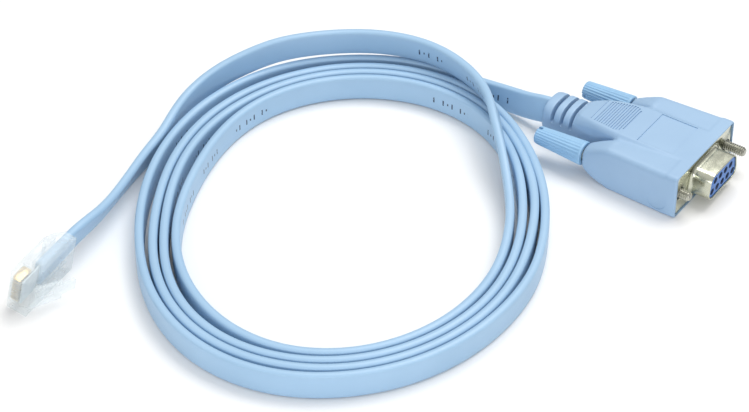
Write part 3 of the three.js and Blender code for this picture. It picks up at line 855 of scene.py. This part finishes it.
# ---------- the clear modular plug ----------
mat_clear, cnt, cb = node_mat("clear_polycarbonate")
ctc = cnt.nodes.new("ShaderNodeTexCoord")
cn = cnt.nodes.new("ShaderNodeTexNoise")
cn.inputs["Scale"].default_value = 420
cn.inputs["Detail"].default_value = 4
cnt.links.new(ctc.outputs["Object"], cn.inputs["Vector"])
cr = cnt.nodes.new("ShaderNodeMapRange")
cr.inputs["From Min"].default_value = 0.35
cr.inputs["From Max"].default_value = 0.7
cr.inputs["To Min"].default_value = 0.12
cr.inputs["To Max"].default_value = 0.3
cnt.links.new(cn.outputs["Fac"], cr.inputs["Value"])
cnt.links.new(cr.outputs["Result"], cb.inputs["Roughness"])
cbp = cnt.nodes.new("ShaderNodeBump")
cbp.inputs["Strength"].default_value = 0.25
cbp.inputs["Distance"].default_value = 0.00004
cnt.links.new(cn.outputs["Fac"], cbp.inputs["Height"])
cnt.links.new(cbp.outputs["Normal"], cb.inputs["Normal"])
cb.inputs["Base Color"].default_value = (0.84, 0.92, 0.95, 1)
cb.inputs["Alpha"].default_value = 0.27
cb.inputs["IOR"].default_value = 1.4

PL, PW, PT = 20.9, 11.7, 6.6
h, w = PT / 2, PW / 2


def prism_z(outline, z0, z1):
    return loft([[(x, y, z0) for x, y in outline], [(x, y, z1) for x, y in outline]])


pb = fixed(make("plug_housing", *prism_z([(0, -h), (PL, -h), (PL, 0.1), (18.6, 2.2), (15.6, h), (1.4, h), (0, h - 0.9)], -w, w)))
lat = [fixed(make("l0", *prism_z([(1.2, -h + 0.4), (1.2, -h - 1.1), (8.6, -h - 4.6), (8.9, -h - 3.6), (3.4, -h - 0.5), (3.4, -h + 0.4)], -3.05, 3.05))),
       fixed(make("l1", *prism_z([(8.5, -h - 3.5), (8.3, -h - 4.45), (12.4, -h - 6.1), (12.7, -h - 5.2)], -1.65, 1.65)))]
cut(pb, lat, "UNION")
bevel(pb, 0.22, 2, 40)
tools = [
    fixed(make("p0", *box_vf(8.6, PL + 1, -1.65, 1.65, -4.3, 4.3))),
    fixed(make("p1", *box_vf(11.6, 15.6, 2.2, h + 1, -4.1, 4.1))),
]
for i in range(8):
    z = (i - 3.5) * 1.02
    tools.append(fixed(make(f"p2{i}", *box_vf(0.8, 6.8, 0, h + 1, z - 0.34, z + 0.34))))
cut(pb, tools)
pb.data.transform(PLUG)
pb.data.materials.clear()
pb.data.materials.append(mat_clear)
shade(pb, 30)
place(pb, "root", "clear")
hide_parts("plug_body")

for i in range(8):
    z = (i - 3.5) * 1.02
    out = [(1.2, 0.35), (6.4, 0.35), (6.4, h - 0.8), (6.1, h - 0.5), (2.2, h - 0.5), (1.7, h - 0.62), (1.3, h - 1.0), (1.2, h - 1.3)]
    bl = fixed(make(f"plug_blade_{i + 1}", *prism_z(out, z - 0.16, z + 0.16)))
    bevel(bl, 0.06, 2, 50)
    bl.data.transform(PLUG)
    bl.data.materials.clear()
    bl.data.materials.append(mat_gold)
    shade(bl, 40)
    place(bl, "root", "gold")
    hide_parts(f"plug_contact_{i + 1}")

# the eight conductors, fanned out from the jacket to the blades
v, f = [], []
cond = []
for i in range(8):
    z1, z0 = (i - 3.5) * 1.02, (i - 3.5) * 0.86
    pts = [(9.9, 0.0, z0), (8.9, 0.0, z0), (7.8, -0.25, z0 + (z1 - z0) * 0.6), (6.6, -0.45, z1), (1.3, -0.45, z1)]
    ringv = []
    for k, (x, y, z) in enumerate(pts):
        ringv.append([(x, y + 0.30 * math.cos(2 * math.pi * q / 12), z + 0.30 * math.sin(2 * math.pi * q / 12)) for q in range(12)])
    cond.append(loft(ringv))
v, f = join(cond)
wires = fixed(make("plug_conductors", v, f, place=PLUG))
wires.data.materials.clear()
mat_wire, *_ = plastic("conductor_insulation", (0.66, 0.74, 0.78), (0.52, 0.60, 0.66), 0.4, 0.3, 0.01, mottle_mm=1.5)
wires.data.materials.append(mat_wire)
shade(wires, 50)
place(wires, "root", "jacket")

# ---------- floor and soft light ----------
floor = make("floor", [(-4000, -4000, -0.02), (4000, -4000, -0.02), (4000, 4000, -0.02), (-4000, 4000, -0.02)], [[0, 1, 2, 3]], smooth=False)
mf, fnt, fb = node_mat("floor_paper")
ftc = fnt.nodes.new("ShaderNodeTexCoord")
fn = fnt.nodes.new("ShaderNodeTexNoise")
fn.inputs["Scale"].default_value = 3
fnt.links.new(ftc.outputs["Object"], fn.inputs["Vector"])
fr = fnt.nodes.new("ShaderNodeValToRGB")
fr.color_ramp.elements[0].color = (0.90, 0.90, 0.90, 1)
fr.color_ramp.elements[1].color = (0.93, 0.93, 0.93, 1)
fnt.links.new(fn.outputs["Fac"], fr.inputs["Fac"])
fnt.links.new(fr.outputs["Color"], fb.inputs["Base Color"])
fb.inputs["Roughness"].default_value = 0.9
floor.data.materials.append(mf)

world = bpy.data.worlds.new("studio")
bpy.context.scene.world = world
world.use_nodes = True
wnt = world.node_tree
bg = wnt.nodes["Background"]
wtc = wnt.nodes.new("ShaderNodeTexCoord")
wsp = wnt.nodes.new("ShaderNodeSeparateXYZ")
wnt.links.new(wtc.outputs["Generated"], wsp.inputs[0])
wrp = wnt.nodes.new("ShaderNodeValToRGB")
wrp.color_ramp.elements[0].position = 0.02
wrp.color_ramp.elements[0].color = (0.12, 0.13, 0.15, 1)
wrp.color_ramp.elements[1].position = 0.75
wrp.color_ramp.elements[1].color = (1, 1, 1, 1)
wnt.links.new(wsp.outputs["Z"], wrp.inputs["Fac"])
wnt.links.new(wrp.outputs["Color"], bg.inputs["Color"])
bg.inputs["Strength"].default_value = WORLD


def area(name, loc, target, size, power, color=(1, 1, 1)):
    d = bpy.data.lights.new(name, "AREA")
    d.shape = "RECTANGLE"
    d.size, d.size_y = size
    d.energy = power
    d.color = color
    o = bpy.data.objects.new(name, d)
    bpy.context.scene.collection.objects.link(o)
    o.location = loc
    o.rotation_euler = (Vector(target) - Vector(loc)).to_track_quat("-Z", "Y").to_euler()
    return o


for args in LIGHTS:
    area(*args)
